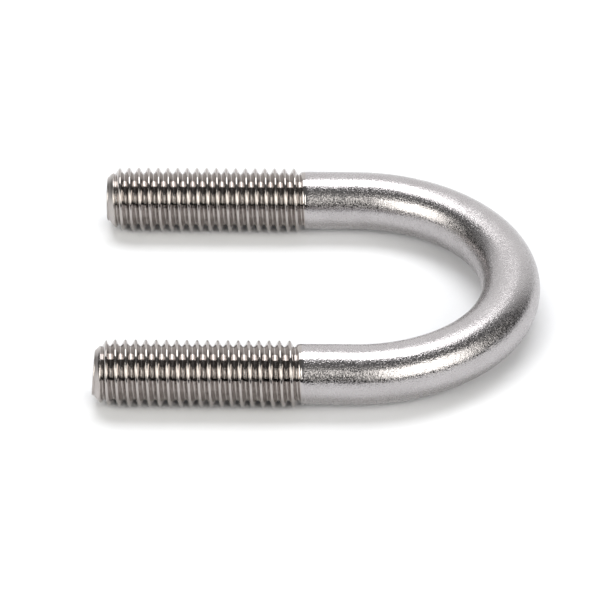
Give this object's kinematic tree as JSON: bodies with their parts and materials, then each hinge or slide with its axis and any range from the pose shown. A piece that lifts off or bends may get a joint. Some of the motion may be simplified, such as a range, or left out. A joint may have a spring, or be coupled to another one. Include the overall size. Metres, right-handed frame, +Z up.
{
  "type": "u-bolt",
  "caption": "One-piece stainless U-bolt: a round bar bent to a half-circle bow, with parallel legs threaded at their ends, for clamping a pipe.",
  "frame": {"origin": "centre of the underside of the part's box, as it lies flat on its thread crests", "axes": "+X along the legs, from the tips towards the bow; +Y from the front leg to the rear leg; +Z up, square to the plane of the U"},
  "size_m": [0.0664, 0.0568, 0.0099],
  "materials": {
    "bar": "satin",
    "thread": "polished"
  },
  "bodies": {
    "root": {"bow": "bar", "front_shank": "bar", "rear_shank": "bar", "front_thread": "thread", "rear_thread": "thread"}
  },
  "joints": []
}
